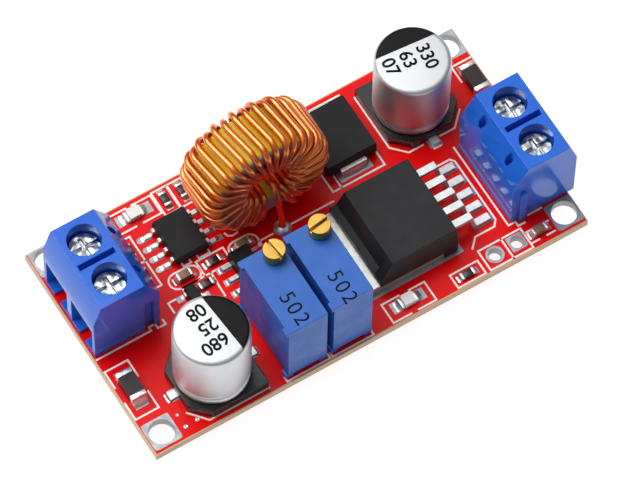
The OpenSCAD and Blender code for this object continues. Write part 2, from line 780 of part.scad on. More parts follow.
on_board(output_capacitor, output_capacitor_turn) capacitor_base();  // output_capacitor_base
on_board(output_capacitor, output_capacitor_turn) capacitor_can();  // output_capacitor_can
on_board(output_capacitor, output_capacitor_turn) capacitor_leads();  // output_capacitor_leads
on_board(input_capacitor, input_capacitor_turn) capacitor_base();  // input_capacitor_base
on_board(input_capacitor, input_capacitor_turn) capacitor_can();  // input_capacitor_can
on_board(input_capacitor, input_capacitor_turn) capacitor_leads();  // input_capacitor_leads
inductor_core();
inductor_winding();
inductor_joints();
converter_body();
converter_tab();
converter_leads();
amplifier_chip();  // amplifier_body
amplifier_leads();
diode_chip();  // diode_body
diode_terminals();
regulator_chip();  // regulator_body
regulator_leads();
transistor_chip();  // transistor_body
transistor_leads();
lamp_bodies();
lamp_ends();
resistor_bodies();
resistor_ends();
small_capacitor_bodies();
small_capacitor_ends();
large_capacitor_bodies();
large_capacitor_ends();
terminal_joints();
trimmer_joints();
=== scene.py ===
import math
import bmesh
import bpy
from mathutils import Matrix, Vector


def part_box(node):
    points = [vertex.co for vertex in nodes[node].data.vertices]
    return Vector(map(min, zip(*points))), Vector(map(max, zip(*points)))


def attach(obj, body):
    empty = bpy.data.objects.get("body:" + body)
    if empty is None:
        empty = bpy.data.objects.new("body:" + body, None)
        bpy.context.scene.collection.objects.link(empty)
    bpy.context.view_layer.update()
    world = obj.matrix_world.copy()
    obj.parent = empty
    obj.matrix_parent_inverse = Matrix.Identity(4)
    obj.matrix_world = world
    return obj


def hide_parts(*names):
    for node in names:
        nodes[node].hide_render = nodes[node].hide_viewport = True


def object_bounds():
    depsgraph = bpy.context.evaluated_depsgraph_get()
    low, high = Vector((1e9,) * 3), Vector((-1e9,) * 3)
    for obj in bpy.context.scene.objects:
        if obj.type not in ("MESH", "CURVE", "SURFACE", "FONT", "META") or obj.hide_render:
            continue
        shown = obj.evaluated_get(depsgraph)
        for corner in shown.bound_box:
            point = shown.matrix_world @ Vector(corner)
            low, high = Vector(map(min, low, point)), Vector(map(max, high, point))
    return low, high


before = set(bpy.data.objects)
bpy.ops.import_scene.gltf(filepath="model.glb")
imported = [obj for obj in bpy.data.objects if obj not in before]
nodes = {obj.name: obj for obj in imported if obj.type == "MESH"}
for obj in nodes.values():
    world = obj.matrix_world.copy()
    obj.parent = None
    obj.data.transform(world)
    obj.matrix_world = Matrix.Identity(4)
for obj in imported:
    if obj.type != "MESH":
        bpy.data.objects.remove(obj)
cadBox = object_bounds()
mm = 0.001

boardLow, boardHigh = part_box("circuit_board")
boardMiddle = (boardLow + boardHigh) / 2
boardTop = boardHigh.z


def place(x, y, z=0.0):
    # a point counted in millimetres from the board's centre and its top face, in the frame's metres
    return Vector((boardMiddle.x + x * mm, boardMiddle.y + y * mm, boardTop + z * mm))


def toLinear(hexColour):
    parts = [int(hexColour[i:i + 2], 16) / 255 for i in (1, 3, 5)]
    linear = [c / 12.92 if c <= 0.04045 else ((c + 0.055) / 1.055) ** 2.4 for c in parts]
    return (*linear, 1.0)


def addNode(tree, kind, settings=None, inputs=None):
    node = tree.nodes.new(kind)
    for name, value in (settings or {}).items():
        setattr(node, name, value)
    for socket, value in (inputs or {}).items():
        if isinstance(value, bpy.types.NodeSocket):
            tree.links.new(value, node.inputs[socket])
        else:
            node.inputs[socket].default_value = value
    return node


def newObject(name, data):
    made = bpy.data.objects.new(name, data)
    bpy.context.scene.collection.objects.link(made)
    return made


def addPiece(name, mesh, material, body="base", replaced=()):
    piece = newObject(name, mesh)
    if material is not None:
        mesh.materials.clear()
        mesh.materials.append(material)
    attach(piece, body)
    if replaced:
        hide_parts(*replaced)
    return piece


modelling = {
    # angles in degrees, the weld in metres
    "sharpAngle": 35, "flatAngle": 0.5, "edgeAngle": 40, "edgeSegments": 2, "flatWeight": 100,
    "weld": 1e-6, "arcSteps": 8,
}


def smoothMesh(bm, name):
    mesh = bpy.data.meshes.new(name)
    bm.to_mesh(mesh)
    bm.free()
    for face in mesh.polygons:
        face.use_smooth = True
    return mesh


def meshFrom(bm, name):
    bmesh.ops.recalc_face_normals(bm, faces=bm.faces)
    mesh = smoothMesh(bm, name)
    mesh.set_sharp_from_angle(angle=math.radians(modelling["sharpAngle"]))
    return mesh


def anglesRound(steps):
    return [2 * math.pi * k / steps for k in range(steps)]


def halfCircle(x, y, radius, start):
    # points from start, in degrees, half way round
    steps = modelling["arcSteps"]
    angles = [math.radians(start + 180 / steps * k) for k in range(steps + 1)]
    return [(x + radius * math.cos(a), y + radius * math.sin(a)) for a in angles]


def applied(piece):
    # the piece's mesh with its modifiers worked in
    bpy.context.view_layer.update()
    graph = bpy.context.evaluated_depsgraph_get()
    mesh = bpy.data.meshes.new_from_object(piece.evaluated_get(graph), depsgraph=graph)
    bpy.data.objects.remove(piece)
    return mesh


def softened(node, name, material, edge, body="base"):
    # a copy of a CAD node with its edges rounded, as moulding and stamping leave them
    v = modelling
    bm = bmesh.new()
    bm.from_mesh(nodes[node].data)
    bmesh.ops.remove_doubles(bm, verts=bm.verts, dist=v["weld"])
    bmesh.ops.dissolve_limit(bm, angle_limit=math.radians(v["flatAngle"]),
                             verts=bm.verts, edges=bm.edges)
    rough = newObject(name + "Rough", smoothMesh(bm, name))
    bevel = rough.modifiers.new("edges", "BEVEL")
    bevel.width = edge * mm
    bevel.segments = v["edgeSegments"]
    bevel.limit_method = "ANGLE"
    bevel.angle_limit = math.radians(v["edgeAngle"])
    bevel.use_clamp_overlap = False
    flats = rough.modifiers.new("flats", "WEIGHTED_NORMAL")
    flats.weight = v["flatWeight"]
    soft = applied(rough)
    soft.name = name
    return addPiece(name, soft, material, body, (node,))


def dress(node, material):
    data = nodes[node].data
    data.materials.clear()
    data.materials.append(material)
    for face in data.polygons:
        face.material_index = 0


texture = {
    # what every finish has unless its look says otherwise; lengths in millimetres
    "mottleDetail": 3.0, "grainDetail": 2.0, "mottleLow": 0.3, "mottleHigh": 0.7, "uneven": 0.17,
    "grainDepth": 0.3, "specular": 0.5, "coatRoughness": 0.05, "subsurfaceReach": 0.4,
}


def maths(tree, operation, first, second):
    return addNode(tree, "ShaderNodeMath", {"operation": operation}, {0: first, 1: second}).outputs[0]


def mixColours(tree, factor, first, second):
    # sockets 6 and 7 are the Mix node's two colours, and output 2 is its result
    mixed = addNode(tree, "ShaderNodeMix", {"data_type": "RGBA"}, {
        "Factor": factor, 6: first, 7: second})
    return mixed.outputs[2]


def surface(name, look):
    # a finish with fine grain, slow mottling and a little uneven gloss, sized in millimetres
    material = bpy.data.materials.new(name)
    material.use_nodes = True
    tree = material.node_tree
    shader = tree.nodes["Principled BSDF"]
    where = addNode(tree, "ShaderNodeTexCoord").outputs["Object"]
    mottle = addNode(tree, "ShaderNodeTexNoise", inputs={
        "Vector": where, "Scale": 1 / (look["mottleSize"] * mm), "Detail": texture["mottleDetail"]})
    grain = addNode(tree, "ShaderNodeTexNoise", inputs={
        "Vector": where, "Scale": 1 / (look["grainSize"] * mm),
        "Detail": look.get("grainDetail", texture["grainDetail"])})
    mixed = mixColours(tree, mottle.outputs["Fac"], toLinear(look["colour"]), toLinear(look["second"]))
    uneven = look.get("uneven", texture["uneven"])
    gloss = addNode(tree, "ShaderNodeMapRange", inputs={
        "Value": mottle.outputs["Fac"],
        "From Min": texture["mottleLow"], "From Max": texture["mottleHigh"],
        "To Min": look["roughness"] * (1 - uneven), "To Max": look["roughness"] * (1 + uneven)})
    bump = addNode(tree, "ShaderNodeBump", inputs={
        "Height": grain.outputs["Fac"], "Strength": look["bump"],
        "Distance": look["grainSize"] * mm * texture["grainDepth"]})
    tree.links.new(mixed, shader.inputs["Base Color"])
    tree.links.new(gloss.outputs["Result"], shader.inputs["Roughness"])
    tree.links.new(bump.outputs["Normal"], shader.inputs["Normal"])
    shader.inputs["Metallic"].default_value = look.get("metallic", 0.0)
    if "ior" in look:
        shader.inputs["IOR"].default_value = look["ior"]
    shader.inputs["Specular IOR Level"].default_value = look.get("specular", texture["specular"])
    shader.inputs["Coat Weight"].default_value = look.get("coat", 0.0)
    shader.inputs["Coat Roughness"].default_value = look.get("coatRoughness", texture["coatRoughness"])
    shader.inputs["Subsurface Weight"].default_value = look.get("subsurface", 0.0)
    shader.inputs["Subsurface Scale"].default_value = texture["subsurfaceReach"] * mm
    return material


def recolour(material, mask, hexColour):
    # paints the finish's own colour over with another where the mask is 1
    tree = material.node_tree
    shader = tree.nodes["Principled BSDF"]
    before = shader.inputs["Base Color"].links[0].from_socket
    tree.links.new(mixColours(tree, mask, before, toLinear(hexColour)), shader.inputs["Base Color"])


def insideBox(material, middle, halfSize):
    # 1 inside a box given in Object coordinates, by comparing each axis with its half size
    tree = material.node_tree
    where = addNode(tree, "ShaderNodeTexCoord").outputs["Object"]
    offset = addNode(tree, "ShaderNodeVectorMath", {"operation": "SUBTRACT"}, {0: where, 1: middle})
    away = addNode(tree, "ShaderNodeVectorMath", {"operation": "ABSOLUTE"}, {0: offset.outputs[0]})
    axes = addNode(tree, "ShaderNodeSeparateXYZ", inputs={0: away.outputs[0]})
    factor = None
    for axis, limit in zip("XYZ", halfSize):
        inside = maths(tree, "LESS_THAN", axes.outputs[axis], limit)
        factor = inside if factor is None else maths(tree, "MULTIPLY", factor, inside)
    return factor


looks = {
    # liquid solder mask over copper: deep glossy red, very slightly uneven
    "solderMask": {"colour": "#EA0002", "second": "#DC0002", "roughness": 0.3, "bump": 0.05,
                   "mottleSize": 6.0, "grainSize": 0.25, "ior": 1.42, "specular": 0.2},
    # printed legend ink: soft white, matt
    "legendInk": {"colour": "#F6EFEA", "second": "#EADFDA", "roughness": 0.55, "bump": 0.15,
                  "mottleSize": 0.5, "grainSize": 0.08},
    # tin and solder: bright, softly rippled metal
    "solder": {"colour": "#EDEDE9", "second": "#D8D7D3", "roughness": 0.36, "bump": 0.3,
               "mottleSize": 0.6, "grainSize": 0.4, "metallic": 1.0},
    # hot-air levelled tin on the lands: flat, pale grey, satin
    "landTin": {"colour": "#A8AAAC", "second": "#9C9EA0", "roughness": 0.55, "bump": 0.15,
                "mottleSize": 0.8, "grainSize": 0.3, "metallic": 1.0},
    # stamped and tinned copper leads: bright with a fine grain
    "tinnedLead": {"colour": "#D2D4D2", "second": "#C6C8C6", "roughness": 0.48, "bump": 0.12,
                   "mottleSize": 0.5, "grainSize": 0.2, "metallic": 1.0},
    # injection-moulded polyamide, blue all through: smooth and shiny from a polished mould
    "moulding": {"colour": "#2468D6", "second": "#2061CA", "roughness": 0.12, "bump": 0.03,
                 "mottleSize": 3.0, "grainSize": 0.18, "ior": 1.4},
    # diallyl phthalate of the trimmers: a greyer blue with a satin face
    "trimmerMoulding": {"colour": "#1C60BC", "second": "#1759B0", "roughness": 0.45, "bump": 0.05,
                        "mottleSize": 2.0, "grainSize": 0.12, "ior": 1.5},
    # turned brass: warm yellow metal with fine machining marks
    "brass": {"colour": "#C4A052", "second": "#B89242", "roughness": 0.34, "bump": 0.1,
              "mottleSize": 0.6, "grainSize": 0.1, "metallic": 1.0},
    # bright zinc-plated steel screws: mirror-like, dented by tumbling
    "platedSteel": {"colour": "#C6CACC", "second": "#A4AAAE", "roughness": 0.3, "bump": 0.8,
                    "mottleSize": 0.8, "grainSize": 0.7, "grainDetail": 0.0, "metallic": 1.0},
    # pressed steel of the clamps: duller zinc plate
    "clampSteel": {"colour": "#A9ABB0", "second": "#8E9096", "roughness": 0.35, "bump": 0.25,
                   "mottleSize": 0.6, "grainSize": 0.3, "metallic": 1.0},
    # phenolic base of the capacitors: black with a soft shine
    "phenolic": {"colour": "#0B0B0C", "second": "#101011", "roughness": 0.3, "bump": 0.1,
                 "mottleSize": 1.0, "grainSize": 0.12},
    # laminated aluminium of the cans: satin silver, nearly white in the light
    "canAluminium": {"colour": "#D3D4D7", "second": "#CCCDD1", "roughness": 0.55, "bump": 0.03,
                     "mottleSize": 4.0, "grainSize": 0.1, "metallic": 1.0, "specular": 0.2,
                     "uneven": 0.04},
    # epoxy coat of the iron-powder core: opaque yellow, semi-gloss, slightly lumpy
    "coreCoat": {"colour": "#E0C420", "second": "#CFB018", "roughness": 0.42, "bump": 0.3,
                 "mottleSize": 1.2, "grainSize": 0.35, "specular": 0.25},
    # enamelled copper: warm orange metal under a clear glossy varnish
    "enamelledCopper": {"colour": "#FA883A", "second": "#EE7A30", "roughness": 0.36, "bump": 0.05,
                        "mottleSize": 1.0, "grainSize": 0.3, "metallic": 1.0,
                        "coat": 1.0, "coatRoughness": 0.08},
    # filled epoxy of the chips: charcoal, fine matt grain from the mould
    "chipEpoxy": {"colour": "#2B2B2D", "second": "#262628", "roughness": 0.45, "bump": 0.3,
                  "mottleSize": 1.5, "grainSize": 0.09, "ior": 1.42, "specular": 0.2},
    # the smaller chips and the diode are moulded in a blacker epoxy
    "blackEpoxy": {"colour": "#19191B", "second": "#1F1F20", "roughness": 0.45, "bump": 0.35,
                   "mottleSize": 1.2, "grainSize": 0.1, "ior": 1.42, "specular": 0.2},
    # fired ceramic and clear epoxy of the lamps: milky and slightly yellow
    "lampBody": {"colour": "#E6E8E2", "second": "#DADCD4", "roughness": 0.3, "bump": 0.2,
                 "mottleSize": 0.5, "grainSize": 0.15, "subsurface": 0.3},
    # glazed film on a resistor: near black and shiny
    "resistorGlaze": {"colour": "#1B1917", "second": "#262220", "roughness": 0.3, "bump": 0.2,
                      "mottleSize": 0.4, "grainSize": 0.1},
    # sintered dielectric of the small capacitors: tan, dry
    "tanCeramic": {"colour": "#8C6A50", "second": "#7A5B44", "roughness": 0.45, "bump": 0.25,
                   "mottleSize": 0.4, "grainSize": 0.1},
    # sintered dielectric of the large capacitors: dark brown, dry
    "darkCeramic": {"colour": "#2E2423", "second": "#271E1D", "roughness": 0.4, "bump": 0.25,
                    "mottleSize": 0.5, "grainSize": 0.12, "specular": 0.3},
    # pad-printing ink on the cans and trimmers: flat black
    "markInk": {"colour": "#08080A", "second": "#0C0C0E", "roughness": 0.7, "bump": 0.05,
                "mottleSize": 0.5, "grainSize": 0.08, "specular": 0.15},
}
finish = {name: surface(name, look) for name, look in looks.items()}


# a half size of a mask's box, in metres, that limits nothing
noLimit = 1.0
laminate = {"margin": 0.13, "maskDeep": 0.04, "colour": "#C8A988"}
coreFace = {"deep": 0.2, "colour": "#B9B7B2"}


def nakedLaminate():
    # the routed edge of the board shows pale glass fibre, and the mask ends just inside it
    size = (boardHigh - boardLow) / 2
    maskMargin = Vector((laminate["margin"] * mm, laminate["margin"] * mm, 0))
    maskDeep = laminate["maskDeep"] * mm
    material = finish["solderMask"]
    tree = material.node_tree
    overAll = insideBox(material, boardMiddle, (*(size - maskMargin).xy, noLimit))
    core = insideBox(material, boardMiddle, (noLimit, noLimit, size.z - maskDeep))
    outer = maths(tree, "SUBTRACT", 1.0, overAll)
    recolour(material, maths(tree, "MAXIMUM", outer, core), laminate["colour"])


def bareCoreFace():
    # the core's front face is dipped only in a pale grey coat
    low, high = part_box("inductor_core")
    middle = Vector(((low.x + high.x) / 2, low.y, (low.z + high.z) / 2))
    mask = insideBox(finish["coreCoat"], middle, (noLimit, coreFace["deep"] * mm, noLimit))
    recolour(finish["coreCoat"], mask, coreFace["colour"])


nakedLaminate()
bareCoreFace()
print("materials made")


lands = {
    "thick": 0.04,
    "cornerHalf": 1.6, "cornerSpan": (47.8, 22.6), "cornerMiddle": (0.1, 0.2), "cornerHole": 1.4,
    "padHole": 0.7, "roundPad": (15.4, -11.5, 0.98), "squarePad": (18.05, -11.45, 0.9),
    "plating": 0.03, "segments": 48,
    # how far a square land's cut corner reaches, as a share of its half side
    "cornerReach": 1.35207,
}


def ringPlate(bm, middle, holeRadius, edgeRadius, low, high, segments):
    # a flat land round a hole; edgeRadius gives the outline's distance in each direction
    rings = []
    for height in (low, high):
        for radius in (lambda a: holeRadius, edgeRadius):
            rings.append([bm.verts.new(place(middle[0] + radius(a) * math.cos(a),
                                             middle[1] + radius(a) * math.sin(a), height))
                          for a in anglesRound(segments)])
    lowIn, lowOut, highIn, highOut = rings
    for i in range(segments):
        j = (i + 1) % segments
        bm.faces.new((highIn[i], highOut[i], highOut[j], highIn[j]))
        bm.faces.new((lowIn[j], lowOut[j], lowOut[i], lowIn[i]))
        bm.faces.new((lowOut[i], lowOut[j], highOut[j], highOut[i]))
        bm.faces.new((lowIn[j], lowIn[i], highIn[i], highIn[j]))


def squareEdge(half):
    # the distance to a square's edge in direction a, with the corners cut back a little
    corner = half * lands["cornerReach"]
    return lambda a: min(half / max(abs(math.cos(a)), abs(math.sin(a))), corner)


def platedHole(bm, middle, radius, edgeRadius):
    # a land on each face of the board and the plating between them
    v = lands
    bottom = -(boardHigh.z - boardLow.z) / mm - v["thick"]
    for low in (0, bottom):
        ringPlate(bm, middle, radius - v["plating"] / 2, edgeRadius,
                  low, low + v["thick"], v["segments"])
    ringPlate(bm, middle, radius - v["plating"], lambda a: radius,
              bottom, v["thick"], v["segments"])


def makeBoardLands():
    v = lands
    bm = bmesh.new()
    for sx in (-1, 1):
        for sy in (-1, 1):
            middle = (v["cornerMiddle"][0] + sx * v["cornerSpan"][0] / 2,
                      v["cornerMiddle"][1] + sy * v["cornerSpan"][1] / 2)
            platedHole(bm, middle, v["cornerHole"], squareEdge(v["cornerHalf"]))
    x, y, radius = v["roundPad"]
    platedHole(bm, (x, y), v["padHole"], lambda a: radius)
    x, y, half = v["squarePad"]
    platedHole(bm, (x, y), v["padHole"], squareEdge(half))
    addPiece("boardLands", meshFrom(bm, "boardLands"), finish["landTin"])


def rectangleLand(bm, x0, y0, x1, y1, thick):
    corners = [place(x, y, z) for z in (0, thick) for x, y in ((x0, y0), (x1, y0), (x1, y1), (x0, y1))]
    v = [bm.verts.new(c) for c in corners]
    sides = [(i, (i + 1) % 4, (i + 1) % 4 + 4, i + 4) for i in range(4)]
    for face in [(3, 2, 1, 0), (4, 5, 6, 7)] + sides:
        bm.faces.new([v[i] for i in face])


leadRows = {
    # where each chip's leads stand along Y
    "converter": [-4.15 + 1.7 * k for k in (-2, -1, 0, 1, 2)],
    "amplifier": [6.55 + 1.27 * k for k in (-1.5, -0.5, 0.5, 1.5)],
    "regulator": [-0.2 + 1.5 * k for k in (-1, 0, 1)],
}
partLands = {
    "thick": 0.03,
    # low and high corners of each tinned land, from the board's centre
    "rectangles": [
        (1.8, -9.55, 12.9, 0.9), (6.35, 3.55, 10.2, 5.4), (6.35, 10.6, 10.2, 12.4),
        (16.3, 2.15, 17.65, 3.9), (16.3, 10.9, 17.65, 12.3), (-21.1, -8.85, -20.0, -7.5),
        (-12.3, -8.85, -11.2, -7.5), (-15.75, 10.75, -14.4, 12.05), (-13.1, 10.75, -11.7, 12.05),
        (3.1, -12.05, 4.5, -10.75), (5.6, -12.05, 7.0, -10.75),
    ],
    "chipRows": [
        # x from, x to, width along y, y of each
        (15.1, 17.25, 1.05, leadRows["converter"]),
        (-8.9, -7.25, 0.62, leadRows["amplifier"]),
        (-9.9, -8.3, 0.75, leadRows["regulator"]),
        (-5.75, -4.9, 1.8, [-0.2]),
        (-15.0, -14.2, 0.7, [-1.25, 0.65]),
        (-12.4, -11.7, 0.7, [-0.3]),
    ],
    # x from, x to and width of the amplifier's round-ended lands
    "amplifierEnds": (-15.1, -13.3, 0.68),
}


def roundedLand(bm, x0, x1, y, width, thick):
    # a land with half-round ends
    half = width / 2
    outline = halfCircle(x1 - half, y, half, -90) + halfCircle(x0 + half, y, half, 90)
    low, high = ([bm.verts.new(place(*p, z)) for p in outline] for z in (0, thick))
    bm.faces.new(high)
    bm.faces.new(low[::-1])
    for i in range(len(outline)):
        j = (i + 1) % len(outline)
        bm.faces.new((low[i], low[j], high[j], high[i]))


def makePartLands():
    bm = bmesh.new()
    t = partLands["thick"]
    for box in partLands["rectangles"]:
        rectangleLand(bm, *box, t)
    for x0, x1, width, rows in partLands["chipRows"]:
        for y in rows:
            rectangleLand(bm, x0, y - width / 2, x1, y + width / 2, t)
    x0, x1, width = partLands["amplifierEnds"]
    for y in leadRows["amplifier"]:
        roundedLand(bm, x0, x1, y, width, t)
    addPiece("partLands", meshFrom(bm, "partLands"), finish["landTin"])


legend = {
    "width": 0.2, "thick": 0.02, "sharpestMitre": 0.3,
    "lines": [
        # output terminal block
        [(-25.3, -0.85), (-18.95, -0.85), (-18.95, -0.4), (-18.2, -0.4), (-18.2, -0.95), (-17.3, -0.95),
         (-17.3, -0.4)],
        # input terminal block
        [(18.35, 1.1), (18.35, -9.4), (19.2, -9.4), (19.2, -9.95), (19.95, -9.95)],
        [(20.7, -9.4), (22.3, -9.4)],
        # trimmers
        [(-10.1, -12.3), (-10.1, -12.82), (-5.05, -12.82), (-5.05, -12.3)],
        [(-4.75, -12.3), (-4.75, -12.82), (0.1, -12.82), (0.1, -12.3)],
        # output capacitor
        [(-20.55, -10.6), (-19.0, -12.45), (-12.05, -12.45), (-12.05, -12.0)],
        # input capacitor
        [(12.65, 11.3), (12.65, 4.5), (14.1, 3.0), (15.8, 3.0)],
        [(17.9, 3.0), (19.65, 3.0), (21.2, 4.55)],
        # converter chip's leads
        [(15.45, 0.15), (17.25, 0.15), (17.6, -0.3), (17.6, -8.1), (17.05, -8.75), (14.75, -8.75),
         (13.8, -9.75)],
        # diode
        [(7.9, 12.4), (11.4, 12.4)],
        [(5.05, 5.3), (5.05, 3.1), (11.25, 3.1), (11.25, 4.75)],
        [(6.05, 3.1), (6.05, 4.6)],
        # lamps
        [(-14.1, 12.45), (-16.0, 12.45)],
        [(-13.4, 12.45), (-11.2, 12.45), (-11.2, 10.1), (-13.3, 10.1)],
        [(-16.0, 10.1), (-14.2, 10.1)],
        [(4.55, -10.4), (2.5, -10.4), (2.5, -12.78), (4.6, -12.78)],
        [(5.8, -10.4), (7.6, -10.4), (7.6, -12.78), (5.5, -12.78)],
        # two upright resistors near the amplifier
        [(-11.0, 9.6), (-11.0, 12.6), (-7.5, 12.6), (-7.5, 9.6), (-11.0, 9.6)],
        # resistor under the amplifier
        [(-11.1, 1.65), (-11.1, 3.5), (-7.9, 3.5), (-7.9, 1.65), (-11.1, 1.65)],
        [(-12.4, 1.65), (-11.1, 1.65)],
        # resistor by the lower edge
        [(10.2, -12.82), (10.2, -11.15), (13.5, -11.15), (13.5, -12.82), (10.2, -12.82)],
        # beside the output block
        [(-16.5, 9.45), (-15.4, 9.45), (-15.4, 3.05), (-16.5, 3.05)], [(-16.5, 6.25), (-15.4, 6.25)],
        # small transistor
        [(-15.9, -0.3), (-15.9, 0.9), (-13.8, 0.9), (-13.8, 1.65), (-12.4, 1.65)],
        [(-10.4, 1.65), (-10.5, -1.3)],
        # small marks
        [(-12.4, 4.2), (-12.4, 3.7), (-11.5, 3.7), (-11.5, 4.2)],
        [(-10.6, 4.2), (-10.6, 3.7), (-9.3, 3.7), (-9.3, 4.2)],
        [(-6.9, 4.75), (-6.75, 4.35), (-6.3, 4.15), (-5.75, 4.2)],
        # between the trimmers and the inductor
        [(-5.4, 1.75), (-4.35, 1.75), (-4.3, 2.2), (-2.75, 2.2)], [(-0.7, 2.2), (4.5, 2.2)],
        # large capacitors
        [(-25.35, -4.5), (-25.35, -2.45), (-22.65, -2.45), (-22.65, -4.5)],
        [(-25.35, -6.5), (-25.35, -8.6), (-22.65, -8.6), (-22.65, -6.5)],
        [(25.4, 9.2), (23.1, 9.2), (23.1, 7.2)],
        # wire pads
        [(14.1, -10.3), (14.1, -12.82), (19.2, -12.82), (19.2, -10.3), (14.1, -10.3)],
        [(16.85, -10.3), (16.85, -12.82)],
        # small capacitor beside them
        [(19.3, -11.0), (20.2, -11.0)], [(19.4, -12.35), (20.2, -12.35)],
        [(21.2, -12.35), (22.1, -12.35)], [(21.2, -11.0), (22.1, -11.0)],
    ],
    # the thick bar between the two upright resistors
    "bars": [(-9.35, 9.6, -9.05, 12.6)],
    # rounded outlines of the small capacitors: middle, half length, radius
    "rounds": [((-12.95, 2.57), 0.85, 0.92), ((-5.95, 2.57), 0.75, 0.92)],
}


def ribbon(bm, points, width, thick, closed):
    # a raised line of even width with mitred corners
    flat = [Vector(p) for p in points]
    count = len(flat)
    sides = []
    for i, p in enumerate(flat):
        before = flat[i - 1] if (i > 0 or closed) else None
        after = flat[(i + 1) % count] if (i < count - 1 or closed) else None
        ways = [(b - a).normalized() for a, b in ((before, p), (p, after))
                if a is not None and b is not None]
        across = [Vector((-w.y, w.x)) for w in ways]
        mitre = sum(across, Vector((0, 0))).normalized()
        reach = width / 2 / max(mitre.dot(across[0]), legend["sharpestMitre"])
        extra = Vector((0, 0))
        if before is None:
            extra = -ways[0] * width / 2
        if after is None:
            extra = ways[-1] * width / 2
        sides.append((p + mitre * reach + extra, p - mitre * reach + extra))
    rings = [[bm.verts.new(place(q.x, q.y, z)) for q, z in
              ((a, 0), (a, thick), (b, thick), (b, 0))] for a, b in sides]
    last = count if closed else count - 1
    for i in range(last):
        one, two = rings[i], rings[(i + 1) % count]
        for k in range(4):
            m = (k + 1) % 4
            bm.faces.new((one[k], two[k], two[m], one[m]))
    if not closed:
        bm.faces.new(rings[0])
        bm.faces.new(rings[-1][::-1])


def makeLegend():
    v = legend
    bm = bmesh.new()
    for points in v["lines"]:
        closed = points[0] == points[-1]
        ribbon(bm, points[:-1] if closed else points, v["width"], v["thick"], closed)
    for x0, y0, x1, y1 in v["bars"]:
        rectangleLand(bm, x0, y0, x1, y1, v["thick"])
    for (x, y), half, radius in v["rounds"]:
        outline = halfCircle(x + half, y, radius, -90) + halfCircle(x - half, y, radius, 90)
        ribbon(bm, outline, v["width"], v["thick"], True)
    addPiece("boardLegend", meshFrom(bm, "boardLegend"), finish["legendInk"])


makeBoardLands()
makePartLands()
makeLegend()
dress("circuit_board", finish["solderMask"])
print("board made")


meniscus = {"along": 7, "across": 6, "hollow": 2.0, "sag": 0.55, "sagPower": 3, "toe": 0.05,
            "taper": 0.06, "weld": 1e-5}


def unitRamp(name, material):
    # solder one long, one wide and one high, which falls away along +X in a hollow curve
    v = meniscus
    bm = bmesh.new()
    along, across = v["along"], v["across"]
    grid = []
    for i in range(along + 1):
        u = i / along
        row = []
        for j in range(across + 1):
            w = -1 + 2 * j / across
            crown = 1 - v["sag"] * abs(w) ** v["sagPower"]
            height = (1 - u) ** v["hollow"] * crown + v["toe"] * (1 - u)
            row.append(bm.verts.new((u, w * (0.5 - v["taper"] * u), height)))
        grid.append(row)
    feet = [[bm.verts.new((point.co.x, point.co.y, 0)) for point in row] for row in grid]
    for i in range(along):
        for j in range(across):
            bm.faces.new((grid[i][j], grid[i + 1][j], grid[i + 1][j + 1], grid[i][j + 1]))
            bm.faces.new((feet[i][j], feet[i][j + 1], feet[i + 1][j + 1], feet[i + 1][j]))
    edge = [(i, 0) for i in range(along)] + [(along, j) for j in range(across)]
    edge += [(i, across) for i in range(along, 0, -1)] + [(0, j) for j in range(across, 0, -1)]
    for k, (i, j) in enumerate(edge):
        m, n = edge[(k + 1) % len(edge)]
        bm.faces.new((grid[i][j], feet[i][j], feet[m][n], grid[m][n]))
    bmesh.ops.remove_doubles(bm, verts=bm.verts, dist=v["weld"])
    mesh = meshFrom(bm, name)
    mesh.materials.append(material)
    return newObject(name, mesh)


def newTree(name, inputs):
    # a geometry tree with inputs of the given names and kinds, and a modifier's keys to them
    tree = bpy.data.node_groups.new(name, "GeometryNodeTree")
    keys = {}
    for label, kind in inputs.items():
        socket = tree.interface.new_socket(name=label, in_out="INPUT", socket_type="NodeSocket" + kind)
        keys[label] = socket.identifier
    tree.interface.new_socket(name="Mesh", in_out="OUTPUT", socket_type="NodeSocketGeometry")
    return tree, keys, addNode(tree, "NodeGroupInput")


def paintAndEnd(tree, given, geometry):
    real = addNode(tree, "GeometryNodeRealizeInstances", inputs={0: geometry})
    painted = addNode(tree, "GeometryNodeSetMaterial", inputs={
        "Geometry": real.outputs[0], "Material": given.outputs["Finish"]})
    addNode(tree, "NodeGroupOutput", inputs={0: painted.outputs[0]})


def throughTree(mesh, tree, keys, values):
    # the mesh that a tree makes of another one
    carrier = newObject(mesh.name, mesh)
    modifier = carrier.modifiers.new(tree.name, "NODES")
    modifier.node_group = tree
    for label, value in values.items():
        modifier[keys[label]] = value
    return applied(carrier)


def instancingTree():
    # puts a copy of a shape on each point, turned and sized by the points' own attributes
    tree, keys, given = newTree("shapeOnEachPoint", {
        "Points": "Geometry", "Shape": "Object", "Scale": "Float", "Finish": "Material"})
    shape = addNode(tree, "GeometryNodeObjectInfo", inputs={"Object": given.outputs["Shape"]})
    turn = addNode(tree, "GeometryNodeInputNamedAttribute", {"data_type": "FLOAT"}, {"Name": "turn"})
    size = addNode(tree, "GeometryNodeInputNamedAttribute", {"data_type": "FLOAT_VECTOR"},
                   {"Name": "size"})
    aroundZ = addNode(tree, "ShaderNodeCombineXYZ", inputs={"Z": turn.outputs["Attribute"]})
    scaled = addNode(tree, "ShaderNodeVectorMath", {"operation": "SCALE"}, {
        0: size.outputs["Attribute"], "Scale": given.outputs["Scale"]})
    copies = addNode(tree, "GeometryNodeInstanceOnPoints", inputs={
        "Points": given.outputs["Points"], "Instance": shape.outputs["Geometry"],
        "Rotation": aroundZ.outputs[0], "Scale": scaled.outputs[0]})
    paintAndEnd(tree, given, copies.outputs[0])
    return tree, keys


onEachPoint, onEachPointKeys = instancingTree()


